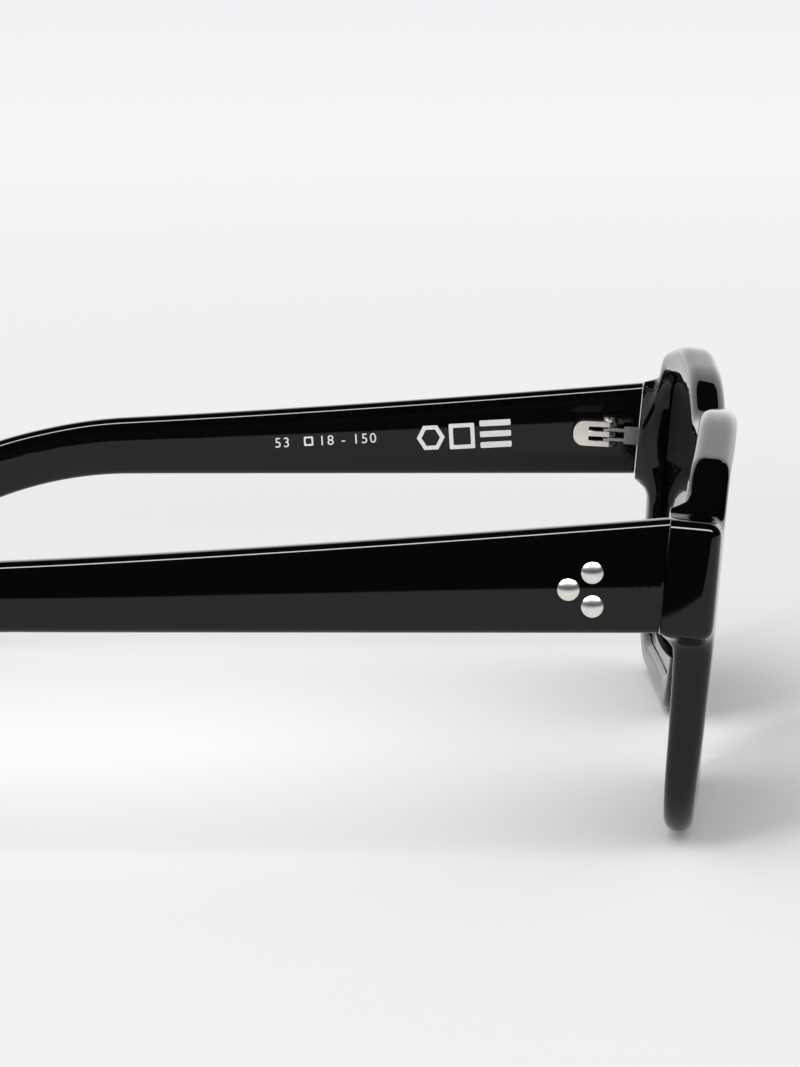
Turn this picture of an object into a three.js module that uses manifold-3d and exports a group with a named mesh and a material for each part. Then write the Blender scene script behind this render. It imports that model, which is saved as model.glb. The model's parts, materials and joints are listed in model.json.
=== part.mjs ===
// Cat eye sunglasses with thick acetate rims, standing open on the rims and the temple tips.
// Millimetres, +Z up. The front faces -Y, the temples run back along +Y, and the wearer's left is +X.
// Every piece of the left side is modelled, and the right side is its mirror image.
import * as THREE from 'three';
import { mergeVertices } from 'three/addons/utils/BufferGeometryUtils.js';
import Module from 'manifold-3d';

const wasm = await Module();
wasm.setup();

// ---------------------------------------------------------------- driving dimensions

// Front. Heights are from the top of the temples, along the tilted front.
const tiltDeg = 5.6; // the top of the front leans forward
const lensWidth = 53; // opening of one rim
const bridgeWidth = 18; // between the two openings
const endPieceReach = 9.5; // from the opening to the outside of the front
const frontThickness = 5.2;
const rimTaperDeg = 1.9; // the rims thin out towards the bottom
const taperTop = 14; // where that starts, below the temple top
const frontDepth = 10.8; // from the temple joint to the front of the bridge
const baseCurveRadius = 600;
const browRise = 10.2; // highest point of the top line, before it is rounded
const bridgeRise = 3.2; // top of the bridge
const bridgeHeight = 10;
const rimDrop = 43.8; // down to the bottom of the rims
const rimWall = 5; // top and bottom walls of the rims
const sideWall = 4.2; // outer wall of the rims
const bossReach = 7; // the thick part behind the hinge fades out this far into the rim
const bossHalfHeight = 8.5;
const noseWall = 5; // wall between an opening and the nose

// Lenses.
const lensThickness = 1.9;
const lensOverlap = 0.8; // how far the lens edge reaches into the rim
const lensInset = 1.2; // from the front face to the lens
const fitGap = 0.3; // between pieces that are glued, pressed or seated

// Temples.
const templeLength = 150; // from the hinge axis round to the tip
const templeThickness = 4;
const templeHeight = 14.6; // at the joint
const templeSlim = 8.7; // behind the taper
const taperLength = 95;
const taperEase = 1.25; // 1 would be a straight taper
const templeTipHeight = 10.4;
const earBendDeg = 45;
const earBendRadius = 60;
const inwardStart = 74; // the ear end curves gently towards the head from here
const tipInwardRadius = 330;
const jointGap = 0.3;

// Hinges: three knuckles on the temple leaf and two on the front leaf.
const hingeLeanDeg = 3; // the hinges lean forward less than the front
const hingeDrop = 8; // middle of the hinge below the temple top
const hingeSetback = 4.8; // axis behind the joint
const knuckleRadius = 1.35;
const templeKnuckle = 0.9;
const frontKnuckle = 0.5;
const knuckleGap = 0.08;
const knuckleToTemple = 0.25;
const leafLength = 5.7; // temple leaf, from the axis back
const leafSlot = 3.2; // slots, from the axis back
const frontSlot = 2.4; // slot of the front leaf, from the axis forward
const leafSink = 1.1; // temple leaf set into the temple
const plateThickness = 0.6;
const plateSink = 0.3; // front plate below the end piece's face
const plateMargin = 0.55; // plate wider than the knuckles, each side
const anchorLength = 3.2;
const anchorThickness = 1.4;
const anchorHeight = 2.4;
const screwRadius = 0.5;
const screwClearance = 0.08;
const screwHeadRadius = 0.95;
const screwHeadHeight = 0.45;
const screwSlotWidth = 0.3;
const screwSlotDepth = 0.2;

// Metal core in each temple.
const coreThickness = 1;
const coreHeight = 2;
const coreEndLength = 30; // plastic left beyond the core, at the tip
const coreBehindLeaf = 0.25; // the core lies this far deeper than the hinge leaf
const coreSag = 1.6; // the core starts this much above the middle of the slim part

// Three decorative studs on the outside of each temple.
const studHeadRadius = 1.4;
const studHeadHeight = 0.5;
const studStemRadius = 0.6;
const studStemLength = 1;
const studSeat = 0.1; // under the head
const studSetback = 9.9; // front pair behind the joint
const studSpacing = 4.3;
const studRearStep = 3;
const studDrop = 8.8; // middle of the three, below the temple top

// Nose pads.
const padThickness = 2.4;
const padReach = 4.6; // how far the pad stands out behind the rim
const padHeight = 15;
const padDrop = 22; // middle of the pad below the temple top
const padSlopeDeg = 19; // leans outwards going down
const padSplayDeg = 22; // opens towards the face

// ---------------------------------------------------------------- derived sizes

const tilt = THREE.MathUtils.degToRad(tiltDeg);
const openingIn = bridgeWidth / 2;
const openingOut = openingIn + lensWidth;
const lensMiddle = (openingIn + openingOut) / 2;
const frontHalf = openingOut + endPieceReach;
const templeOut = frontHalf - 0.5;
const templeIn = templeOut - templeThickness;
const axisX = templeIn - knuckleToTemple - knuckleRadius;
const leafIn = axisX - knuckleRadius;
const axisY = hingeSetback;
const curveStep = frontHalf / 12;

// How far the front face lies behind the joint plane, at any place across the front.
const frontFace = (x) => -frontDepth + (x * x) / (2 * baseCurveRadius);

// The rims stand on the front edge of their flat bottoms, so this is the temple top above the floor.
const standX = lensMiddle - lensWidth / 5;
const jointHeight = rimDrop * Math.cos(tilt) - frontFace(standX) * Math.sin(tilt);

// ---------------------------------------------------------------- materials

const paint = (color, roughness, metalness) => new THREE.MeshStandardMaterial({ color, roughness, metalness });
const acetate = paint(0x0b0b0c, 0.08, 0);
const padAcetate = paint(0x0d0d0e, 0.12, 0);
const smokeLens = paint(0x121016, 0.03, 0);
const hingeMetal = paint(0xd8d0c4, 0.18, 1);
const screwMetal = paint(0xc9c2b8, 0.25, 1);
const coreMetal = paint(0xb8b8ba, 0.35, 1);
const studMetal = paint(0xd2cdc6, 0.28, 1);

// ---------------------------------------------------------------- shape helpers

// A closed outline from corners [a, b, radius], each rounded by an arc that its edges have room for.
function rounded(corners) {
  const points = [];
  const count = corners.length;
  corners.forEach(([a, b, radius = 0], index) => {
    const here = new THREE.Vector2(a, b);
    const last = corners[(index + count - 1) % count];
    const next = corners[(index + 1) % count];
    const back = new THREE.Vector2(last[0], last[1]).sub(here);
    const ahead = new THREE.Vector2(next[0], next[1]).sub(here);
    const room = Math.min(back.length(), ahead.length()) * 0.48;
    back.normalize();
    ahead.normalize();
    const half = Math.acos(THREE.MathUtils.clamp(back.dot(ahead), -1, 1)) / 2;
    if (radius === 0 || half > 1.56) {
      points.push(here);
      return;
    }
    const reach = Math.min(radius / Math.tan(half), room);
    const middle = back.clone().add(ahead).normalize();
    const centre = here.clone().addScaledVector(middle, reach / Math.cos(half));
    const first = here.clone().addScaledVector(back, reach).sub(centre);
    const final = here.clone().addScaledVector(ahead, reach).sub(centre);
    const turn = Math.atan2(first.cross(final), first.dot(final));
    const steps = Math.max(2, Math.ceil(Math.abs(turn) / 0.2));
    for (let step = 0; step <= steps; step += 1) {
      const spoke = first.clone().rotateAround(new THREE.Vector2(), (turn * step) / steps);
      points.push(spoke.add(centre));
    }
  });
  return points;
}

// The same outline moved outwards by a distance.
function grown(points, distance) {
  const side = Math.sign(THREE.ShapeUtils.area(points));
  return points.map((here, index) => {
    const last = points[(index + points.length - 1) % points.length];
    const next = points[(index + 1) % points.length];
    const entering = here.clone().sub(last).normalize();
    const leaving = next.clone().sub(here).normalize();
    const normal = new THREE.Vector2(entering.y + leaving.y, -entering.x - leaving.x).normalize();
    const mitre = normal.x * entering.y - normal.y * entering.x;
    return here.clone().addScaledVector(normal, (side * distance) / mitre);
  });
}

function toSolid(geometry) {
  const bare = geometry.index ? geometry.clone() : geometry;
  bare.deleteAttribute('normal');
  bare.deleteAttribute('uv');
  const merged = mergeVertices(bare, 1e-5);
  const vertProperties = new Float32Array(merged.getAttribute('position').array);
  const triVerts = new Uint32Array(merged.getIndex().array);
  return new wasm.Manifold(new wasm.Mesh({ numProp: 3, vertProperties, triVerts }));
}

function toGeometry(solid) {
  const { vertProperties, triVerts } = solid.getMesh();
  const geometry = new THREE.BufferGeometry();
  geometry.setAttribute('position', new THREE.BufferAttribute(vertProperties, 3));
  geometry.setIndex(new THREE.BufferAttribute(triVerts, 1));
  geometry.computeVertexNormals();
  return geometry;
}

function extruded(points, depth) {
  return new THREE.ExtrudeGeometry(new THREE.Shape(points), { depth, bevelEnabled: false });
}

// Prisms of an outline: seen from above (x, y), from the front (x, z) and from the side (y, z).
function prismUp(points, low, high) {
  return toSolid(extruded(points, high - low).translate(0, 0, low));
}

function prismBack(points, near, far) {
  return toSolid(extruded(points, far - near).rotateX(Math.PI / 2).translate(0, far, 0));
}

const sideways = new THREE.Matrix4().makeBasis(
  new THREE.Vector3(0, 1, 0),
  new THREE.Vector3(0, 0, 1),
  new THREE.Vector3(1, 0, 0),
);

function prismAcross(points, inner, outer) {
  return toSolid(extruded(points, outer - inner).applyMatrix4(sideways).translate(inner, 0, 0));
}

function block(x0, x1, y0, y1, z0, z1) {
  const box = new THREE.BoxGeometry(x1 - x0, y1 - y0, z1 - z0);
  return toSolid(box.translate((x0 + x1) / 2, (y0 + y1) / 2, (z0 + z1) / 2));
}

function post(radius, x, y, low, high) {
  const drum = new THREE.CylinderGeometry(radius, radius, high - low, 20);
  return toSolid(drum.rotateX(Math.PI / 2).translate(x, y, (low + high) / 2));
}

// Turns a solid from the tilted front's frame to the level frame of the temples.
const leanMatrix = new THREE.Matrix4().makeRotationX(tilt);
const leaned = (solid) => solid.transform(leanMatrix.elements);

// Puts a solid from the hinge's own frame, which starts on the joint plane, into the front's frame.
const hingeTurn = THREE.MathUtils.degToRad(hingeLeanDeg) - tilt;
const hingeMatrix = new THREE.Matrix4().makeRotationX(hingeTurn).setPosition(0, 0, -hingeDrop);
const seated = (solid) => solid.transform(hingeMatrix.elements);

// ---------------------------------------------------------------- front

// A slab that follows the base curve, between two depths behind the front face.
function curvedSlab(near, far, low, high) {
  const stations = [];
  for (let index = -13; index <= 13; index += 1) {
    stations.push(index * curveStep);
  }
  const ahead = stations.map((x) => new THREE.Vector2(x, frontFace(x) + near));
  const behind = stations.map((x) => new THREE.Vector2(x, frontFace(x) + far)).reverse();
  return prismUp([...ahead, ...behind], low, high);
}

function frontOutline() {
  const brow = [
    [openingIn - 1, bridgeRise, 8],
    [openingIn + 11, browRise - 1.9, 16],
    [lensMiddle + 3, browRise, 40],
    [openingOut - 1.5, browRise - 3.9, 5],
    [openingOut + 3.4, 0, 4],
    [frontHalf, 0, 0.8],
  ];
  const side = [
    [frontHalf, -templeHeight, 1],
    [openingOut + sideWall + 1.2, -templeHeight - 1.6, 3],
    [openingOut + sideWall - 1, -rimDrop + 0.6, 13],
    [lensMiddle + 4, -rimDrop, 60],
  ];
  const nose = [
    [openingIn + 9.5, -rimDrop, 10],
    [openingIn + 0.5 - noseWall * 0.7, bridgeRise - bridgeHeight - 9, 24],
    [openingIn - noseWall, bridgeRise - bridgeHeight, 4],
  ];
  const half = [...brow, ...side, ...nose];
  const mirrored = half.map(([x, z, radius]) => [-x, z, radius]).reverse();
  return rounded([...half, ...mirrored]);
}

function lensOutline() {
  return rounded([
    [openingIn + 1.5, browRise - rimWall - 3.4, 9],
    [lensMiddle + 1.5, browRise - rimWall - 0.3, 60],
    [openingOut - 1.2, browRise - rimWall - 2.4, 8],
    [openingOut + 0.4, -10, 40],
    [openingOut - 3, -rimDrop + rimWall, 9],
    [openingIn + 10.5, -rimDrop + rimWall, 12],
    [openingIn + 0.4, -11, 28],
  ]);
}

const outline = frontOutline();
const opening = lensOutline();
const highest = browRise + 2;
const lowest = -rimDrop - 2;

// Thick material behind the rim's rear face: it fades in across the front and follows a side profile.
function thickened(rampStart, rampEnd, outer, seenFromSide) {
  const rear = [];
  for (let step = 0; step <= 8; step += 1) {
    const part = step / 8;
    const x = rampStart + (rampEnd - rampStart) * part;
    const rimRear = frontFace(x) + frontThickness - 0.4;
    rear.push(new THREE.Vector2(x, rimRear * (1 - part * part * (3 - 2 * part))));
  }
  const seenFromAbove = [
    ...rear.reverse(),
    new THREE.Vector2(rampStart, frontFace(rampStart) + 1),
    new THREE.Vector2(outer, frontFace(outer) + 1),
    new THREE.Vector2(outer, 0),
  ];
  const standing = prismUp(seenFromAbove, lowest, highest);
  return standing.intersect(prismAcross(seenFromSide, rampStart - 1, outer + 1));
}

// The end piece reaches back to the temple, and a rounded boss carries the hinge beside it.
function endPiece() {
  const block = thickened(openingOut + 1, openingOut + 3.4, frontHalf + 1, rounded([
    [1, 0],
    [-0.4, 0, 1],
    [-2.8, 2.2, 2],
    [-3.6, highest],
    [-frontDepth, highest],
    [-frontDepth, -templeHeight - 7],
    [-2.6, -templeHeight - 6, 2],
    [-1.7, -templeHeight - 2.2, 3],
    [0, -templeHeight, 1],
    [1, -templeHeight],
  ]));
  const bump = [new THREE.Vector2(-frontDepth, bossHalfHeight), new THREE.Vector2(-frontDepth, -bossHalfHeight)];
  for (let step = -8; step <= 8; step += 1) {
    const rise = (bossHalfHeight * step) / 8;
    const fade = Math.max(Math.abs(rise) - leafHeight * 0.6, 0) / (bossHalfHeight - leafHeight * 0.6);
    bump.push(new THREE.Vector2(-1.8 * (1 - Math.cos(Math.PI * fade)), rise));
  }
  const lowered = bump.map((point) => new THREE.Vector2(point.x, point.y - hingeDrop));
  const boss = thickened(openingOut - bossReach, openingOut + 0.5, openingOut + 5, lowered);
  return block.add(boss);
}

const leafHeight = 3 * templeKnuckle + 2 * (frontKnuckle + 2 * knuckleGap);
const plateIn = leafIn - plateMargin;
const plateOut = axisX + knuckleRadius + plateMargin;
const plateBack = -plateSink;
const plateFront = plateBack - plateThickness;

function frontHingePocket() {
  const tall = leafHeight / 2 + fitGap;
  const wide = anchorThickness / 2 + fitGap;
  const narrow = anchorHeight / 2 + fitGap;
  const recess = block(plateIn - fitGap, plateOut + fitGap, plateFront - fitGap, 1, -tall, tall);
  const socket = block(axisX - wide, axisX + wide, plateFront - anchorLength - fitGap, 0, -narrow, narrow);
  return seated(recess.add(socket));
}

function buildFront() {
  const rearTaper = curvedSlab(-frontDepth, frontThickness, lowest, highest)
    .translate([0, 0, taperTop])
    .rotate([-rimTaperDeg, 0, 0])
    .translate([0, 0, -taperTop]);
  const slab = curvedSlab(0, frontThickness, lowest, highest).intersect(rearTaper);
  const grooveNear = lensInset - fitGap;
  const grooveFar = lensInset + lensThickness + fitGap;
  const cut = prismBack(opening, -frontDepth - 2, 2);
  const groove = prismBack(grown(opening, lensOverlap + fitGap), -frontDepth - 2, 2);
  const leftCuts = cut
    .add(groove.intersect(curvedSlab(grooveNear, grooveFar, lowest, highest)))
    .add(frontHingePocket());
  const leftEnd = endPiece();
  return slab
    .add(leftEnd)
    .add(leftEnd.mirror([1, 0, 0]))
    .intersect(prismBack(outline, -frontDepth - 2, 2))
    .subtract(leftCuts)
    .subtract(leftCuts.mirror([1, 0, 0]));
}

function buildLens() {
  const blank = prismBack(grown(opening, lensOverlap), -frontDepth - 2, 2);
  return blank.intersect(curvedSlab(lensInset, lensInset + lensThickness, lowest, highest));
}

// A pebble-shaped pad on the rear of the rim, beside the nose.
function buildNosePad() {
  const pad = new THREE.SphereGeometry(1, 28, 18);
  pad.scale(padThickness / 2, padReach, padHeight / 2);
  pad.rotateZ(-THREE.MathUtils.degToRad(padSplayDeg));
  pad.rotateY(-THREE.MathUtils.degToRad(padSlopeDeg));
  const fall = padDrop + bridgeRise - bridgeHeight;
  const padX = openingIn - noseWall / 2 + fall * Math.tan(THREE.MathUtils.degToRad(padSlopeDeg)) * 0.55;
  pad.translate(padX, frontFace(padX) + frontThickness, -padDrop);
  return toSolid(pad).subtract(curvedSlab(-2, frontThickness + fitGap, lowest, highest));
}

// ---------------------------------------------------------------- hinge, in its own frame

const hingeLow = -leafHeight / 2;
const frontKnuckleLows = [
  hingeLow + templeKnuckle + knuckleGap,
  hingeLow + 2 * templeKnuckle + frontKnuckle + 3 * knuckleGap,
];
const templeKnuckleLows = [0, 1, 2].map(
  (index) => hingeLow + index * (templeKnuckle + frontKnuckle + 2 * knuckleGap),
);

// One flat knuckle: a finger from the axis to a place ahead of it or behind it, with a round end.
function knuckle(low, height, reachY) {
  const y0 = Math.min(axisY, reachY);
  const y1 = Math.max(axisY, reachY);
  const finger = block(leafIn, axisX + knuckleRadius, y0, y1, low, low + height);
  return finger.add(post(knuckleRadius, axisX, axisY, low, low + height));
}

const screwBore = post(screwRadius + screwClearance, axisX, axisY, hingeLow - 1, -hingeLow + 1);

function buildFrontLeaf() {
  const webEnd = axisY - frontSlot;
  const webHalf = leafHeight / 2 - templeKnuckle + 0.3;
  const anchorX = anchorThickness / 2;
  const plate = block(plateIn, plateOut, plateFront, plateBack, hingeLow, -hingeLow);
  const web = block(leafIn, axisX + knuckleRadius, plateFront, webEnd, -webHalf, webHalf);
  const anchorFront = plateFront - anchorLength;
  const anchorHalf = anchorHeight / 2;
  const anchor = block(axisX - anchorX, axisX + anchorX, anchorFront, plateBack, -anchorHalf, anchorHalf);
  let leaf = plate.add(web).add(anchor);
  for (const low of frontKnuckleLows) {
    leaf = leaf.add(knuckle(low, frontKnuckle, webEnd - 0.2));
  }
  return leaf.subtract(screwBore);
}

// The temple leaf seen from the side: straight edges and a round rear end.
function leafOutline(margin) {
  const half = leafHeight / 2 + margin;
  const rear = axisY + leafLength + margin;
  const ahead = axisY + knuckleRadius + 0.8 - margin;
  return rounded([
    [ahead, -half],
    [rear, -half, half * 0.96],
    [rear, half, half * 0.96],
    [ahead, half],
  ]);
}

function buildTempleLeaf() {
  const bodyOut = templeIn + leafSink;
  let leaf = prismAcross(leafOutline(0), leafIn, bodyOut);
  leaf = leaf.subtract(block(leafIn - 1, bodyOut + 1, 0, axisY + leafSlot, hingeLow - 1, -hingeLow + 1));
  for (const low of templeKnuckleLows) {
    leaf = leaf.add(knuckle(low, templeKnuckle, axisY + leafSlot + 0.2));
  }
  return leaf.subtract(screwBore);
}

function buildScrew() {
  const top = -hingeLow;
  const shank = post(screwRadius, axisX, axisY, hingeLow, top + screwHeadHeight / 2);
  const headLow = top + knuckleGap;
  const head = post(screwHeadRadius, axisX, axisY, headLow, headLow + screwHeadHeight);
  const slotHalf = screwSlotWidth / 2;
  const slotLow = headLow + screwHeadHeight - screwSlotDepth;
  const slot = block(axisX - 2, axisX + 2, axisY - slotHalf, axisY + slotHalf, slotLow, slotLow + 1);
  return shank.add(head).subtract(slot);
}

// ---------------------------------------------------------------- temple, in the level frame

const earBend = THREE.MathUtils.degToRad(earBendDeg);
const tipHalf = templeTipHeight / 2;
const bendDrop = earBendRadius * (1 - Math.cos(earBend));
const tipFall = jointHeight - templeHeight - bendDrop + tipHalf * Math.cos(earBend) - tipHalf;
const tipStraight = tipFall / Math.sin(earBend);
const bendLength = (earBendRadius + tipHalf) * earBend;
const straightLength = hingeSetback + templeLength - bendLength - tipStraight - tipHalf;
const bottomLength = straightLength + earBendRadius * earBend + tipStraight;

// A point of the temple's bottom edge and the way it runs, at a distance from the joint.
function bottomEdge(distance) {
  if (distance <= straightLength) {
    return { y: distance, z: -templeHeight, turn: 0 };
  }
  const turn = Math.min((distance - straightLength) / earBendRadius, earBend);
  const beyond = Math.max(distance - straightLength - earBendRadius * earBend, 0);
  const y = straightLength + earBendRadius * Math.sin(turn) + beyond * Math.cos(turn);
  const z = -templeHeight - earBendRadius * (1 - Math.cos(turn)) - beyond * Math.sin(turn);
  return { y, z, turn };
}

// Height of the temple across its length: it tapers, then widens again towards the tip.
function heightAt(distance) {
  if (distance <= taperLength) {
    const left = Math.min(1 - distance / taperLength, 1);
    return templeSlim + (templeHeight - templeSlim) * left ** taperEase;
  }
  const part = (distance - taperLength) / (bottomLength - taperLength);
  return templeSlim + (templeTipHeight - templeSlim) * part * part;
}

// A point above the bottom edge, by a share of the temple's height or by a set distance.
function above(distance, rise) {
  const { y, z, turn } = bottomEdge(distance);
  return new THREE.Vector2(y + rise * Math.sin(turn), z + rise * Math.cos(turn));
}

function templeDistances(from, to) {
  const stops = [];
  for (let stop = taperLength / 10; stop < straightLength - 3; stop += taperLength / 10) {
    stops.push(stop);
  }
  for (let step = 0; step <= 12; step += 1) {
    stops.push(straightLength + (earBendRadius * earBend * step) / 12);
  }
  return [...stops.filter((stop) => stop > from && stop < to), to];
}

function templeOutline() {
  const stops = [-3, 0, ...templeDistances(0, bottomLength)];
  const lower = stops.map((stop) => above(stop, 0));
  const upper = stops.map((stop) => above(stop, heightAt(stop))).reverse();
  const cap = [];
  const centre = above(bottomLength, tipHalf);
  for (let step = 1; step < 12; step += 1) {
    const spoke = -Math.PI / 2 + (Math.PI * step) / 12 - earBend;
    cap.push(new THREE.Vector2(centre.x + tipHalf * Math.cos(spoke), centre.y + tipHalf * Math.sin(spoke)));
  }
  return [...lower, ...cap, ...upper];
}

// Sideways place of the temple's middle: straight, then curving inwards.
function middleX(y) {
  const beyond = Math.max(y - inwardStart, 0);
  return (templeIn + templeOut) / 2 - (beyond * beyond) / (2 * tipInwardRadius);
}

const tipReach = above(bottomLength, tipHalf).x + tipHalf + 2;

// A wall that follows the temple's plan, between two sideways offsets from its middle.
function plannedWall(inner, outer) {
  const stations = [-4, inwardStart];
  for (let step = 1; step <= 12; step += 1) {
    stations.push(inwardStart + ((tipReach - inwardStart) * step) / 12);
  }
  const inside = stations.map((y) => new THREE.Vector2(middleX(y) + inner, y));
  const outside = stations.map((y) => new THREE.Vector2(middleX(y) + outer, y)).reverse();
  return prismUp([...outside, ...inside], -jointHeight - 4, 6);
}

// The band that the core runs in, seen from the side. Its front end opens into the hinge pocket.
const coreMiddle = -hingeDrop + templeHeight;
const coreStart = axisY + leafLength + fitGap * 2;
const coreEnd = bottomLength + tipHalf - coreEndLength;
const coreOffset = -templeThickness / 2 + leafSink + coreBehindLeaf + coreThickness / 2;

function coreBand(from, to, halfHeight) {
  const rise = (stop) => Math.min(coreMiddle, heightAt(stop) / 2 + coreSag);
  const stops = [from, ...templeDistances(from, to)];
  const middle = (stop) => rise(stop) - (stop > taperLength ? (coreSag * (stop - taperLength)) / (to - taperLength) : 0);
  const lower = stops.map((stop) => above(stop, middle(stop) - halfHeight));
  const upper = stops.map((stop) => above(stop, middle(stop) + halfHeight)).reverse();
  return [...lower, ...upper];
}

function coreSolid(from, to, halfHeight, halfThickness) {
  const band = prismAcross(coreBand(from, to, halfHeight), 0, templeOut + 2);
  return band.intersect(plannedWall(coreOffset - halfThickness, coreOffset + halfThickness));
}

const buildCore = () => coreSolid(coreStart, coreEnd, coreHeight / 2, coreThickness / 2);

const studPlaces = {
  upper: [studSetback, -studDrop + studSpacing / 2],
  lower: [studSetback, -studDrop - studSpacing / 2],
  rear: [studSetback + studRearStep, -studDrop],
};

// A domed stud: a spherical cap on a short stem, turned about the X direction.
function buildStud([y, z]) {
  const domeRadius = (studHeadRadius ** 2 + studHeadHeight ** 2) / (2 * studHeadHeight);
  const profile = [
    new THREE.Vector2(0, -studStemLength),
    new THREE.Vector2(studStemRadius, -studStemLength),
    new THREE.Vector2(studStemRadius, studSeat),
    new THREE.Vector2(studHeadRadius, studSeat),
  ];
  for (let step = 1; step < 6; step += 1) {
    const out = studHeadRadius * (1 - step / 6);
    const rise = Math.sqrt(domeRadius ** 2 - out ** 2) - (domeRadius - studHeadHeight);
    profile.push(new THREE.Vector2(out, studSeat + rise));
  }
  profile.push(new THREE.Vector2(0, studSeat + studHeadHeight));
  const turned = new THREE.LatheGeometry(profile, 24).rotateZ(-Math.PI / 2);
  return toSolid(turned.translate(templeOut, y, z));
}

function studHole([y, z]) {
  const radius = studStemRadius + fitGap / 2;
  const drum = new THREE.CylinderGeometry(radius, radius, 2 * (studStemLength + fitGap), 20);
  return toSolid(drum.rotateZ(Math.PI / 2).translate(templeOut, y, z));
}

function buildTemple() {
  const jointCut = leaned(block(0, templeOut + 5, -20, jointGap, -40, 20));
  const pocket = prismAcross(leafOutline(fitGap), templeIn - 2, templeIn + leafSink + fitGap);
  const coreChannel = coreSolid(
    coreStart - 2,
    coreEnd + fitGap,
    coreHeight / 2 + fitGap,
    coreThickness / 2 + fitGap,
  );
  let temple = prismAcross(templeOutline(), 0, templeOut + 2)
    .intersect(plannedWall(-templeThickness / 2, templeThickness / 2))
    .subtract(jointCut)
    .subtract(leaned(seated(pocket)))
    .subtract(coreChannel);
  for (const place of Object.values(studPlaces)) {
    temple = temple.subtract(studHole(place));
  }
  return temple;
}

// ---------------------------------------------------------------- assembly

function mirrored(geometry) {
  const flipped = geometry.clone().scale(-1, 1, 1);
  const index = flipped.getIndex().array;
  for (let corner = 0; corner < index.length; corner += 3) {
    [index[corner], index[corner + 1]] = [index[corner + 1], index[corner]];
  }
  flipped.computeVertexNormals();
  return flipped;
}

function addMesh(group, name, geometry, material) {
  const mesh = new THREE.Mesh(geometry, material);
  mesh.name = name;
  group.add(mesh);
}

function addPair(group, name, solid, material) {
  const geometry = toGeometry(solid);
  addMesh(group, `${name}_left`, geometry, material);
  addMesh(group, `${name}_right`, mirrored(geometry), material);
}

// Pieces that follow the tilted front.
const frontGroup = new THREE.Group();
frontGroup.rotation.x = tilt;
addMesh(frontGroup, 'front_frame', toGeometry(buildFront()), acetate);
addPair(frontGroup, 'lens', buildLens(), smokeLens);
addPair(frontGroup, 'nose_pad', buildNosePad(), padAcetate);

// The hinges lean a little less.
const hingeGroup = new THREE.Group();
hingeGroup.position.z = -hingeDrop;
hingeGroup.rotation.x = hingeTurn;
addPair(hingeGroup, 'hinge_front_leaf', buildFrontLeaf(), hingeMetal);
addPair(hingeGroup, 'hinge_temple_leaf', buildTempleLeaf(), hingeMetal);
addPair(hingeGroup, 'hinge_screw', buildScrew(), screwMetal);
frontGroup.add(hingeGroup);

// Pieces that follow the level temples.
const templeGroup = new THREE.Group();
addPair(templeGroup, 'temple', buildTemple(), acetate);
addPair(templeGroup, 'temple_core', buildCore(), coreMetal);
for (const [place, spot] of Object.entries(studPlaces)) {
  addPair(templeGroup, `temple_stud_${place}`, buildStud(spot), studMetal);
}

// The origin is on the floor, midway between the front of the bridge and the temple tips.
const sunglasses = new THREE.Group();
sunglasses.add(frontGroup, templeGroup);
sunglasses.position.z = jointHeight;
sunglasses.updateMatrixWorld(true);
const extent = new THREE.Box3().setFromObject(sunglasses, true);
sunglasses.position.y = -(extent.min.y + extent.max.y) / 2;
sunglasses.position.z -= extent.min.z;

export default sunglasses;
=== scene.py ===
"""Cat eye sunglasses: polished acetate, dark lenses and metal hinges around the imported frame.

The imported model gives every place. New pieces are modelled flat in millimetres, in the frame of the
tilted front, of a hinge or of a temple, and are then bent, turned and set at their real place in metres.
"""

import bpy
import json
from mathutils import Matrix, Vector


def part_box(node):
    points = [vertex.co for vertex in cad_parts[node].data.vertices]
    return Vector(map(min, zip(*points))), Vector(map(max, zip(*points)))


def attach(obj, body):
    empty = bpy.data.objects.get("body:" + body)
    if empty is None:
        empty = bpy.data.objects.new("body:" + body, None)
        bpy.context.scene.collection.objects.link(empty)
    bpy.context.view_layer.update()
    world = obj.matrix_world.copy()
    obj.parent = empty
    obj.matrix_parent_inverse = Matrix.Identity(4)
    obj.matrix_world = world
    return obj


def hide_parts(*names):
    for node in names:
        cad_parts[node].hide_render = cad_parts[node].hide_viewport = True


bl_info = {
    "name": "Cat Eye Sunglasses",
    "version": (1, 0, 0),
    "blender": (4, 5, 0),
    "location": "View3D > Sidebar > Sunglasses",
    "description": "Builds the visible pieces of a pair of sunglasses around its packed frame",
    "category": "Object",
}

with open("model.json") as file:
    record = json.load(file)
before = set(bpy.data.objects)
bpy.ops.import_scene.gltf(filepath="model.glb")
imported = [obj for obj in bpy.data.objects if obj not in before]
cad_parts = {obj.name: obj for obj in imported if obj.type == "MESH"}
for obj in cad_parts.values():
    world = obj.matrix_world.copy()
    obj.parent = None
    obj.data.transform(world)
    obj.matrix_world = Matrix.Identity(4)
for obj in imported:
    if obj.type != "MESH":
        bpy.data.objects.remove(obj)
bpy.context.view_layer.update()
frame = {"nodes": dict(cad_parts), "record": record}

import json
import math

import bmesh
import bpy
from bpy.props import FloatProperty, FloatVectorProperty, PointerProperty
from mathutils import Euler, Matrix, Vector
from mathutils.kdtree import KDTree

MM = 0.001
SIDES = {"left": 1, "right": -1}
BODY = {"left": "left_temple", "right": "right_temple"}
FULLEST = -17  # height of the fullest line of the front face, from the temple top, in millimetres
FADE_WIDTH = 4.5  # how far from an edge the faces start to soften, in millimetres
LEAF_HEIGHT = 4.02  # the temple leaf, in millimetres
LEAF_START = 5.5  # where its pocket starts, behind the joint
LEAF_REACH = 5.7  # how far it goes behind the hinge axis
PRINT_THICKNESS = 0.02


# ---------------------------------------- sizes and colours


def length(name, description, default):
    return FloatProperty(name=name, description=description, default=default * MM, unit="LENGTH", precision=5)


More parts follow.
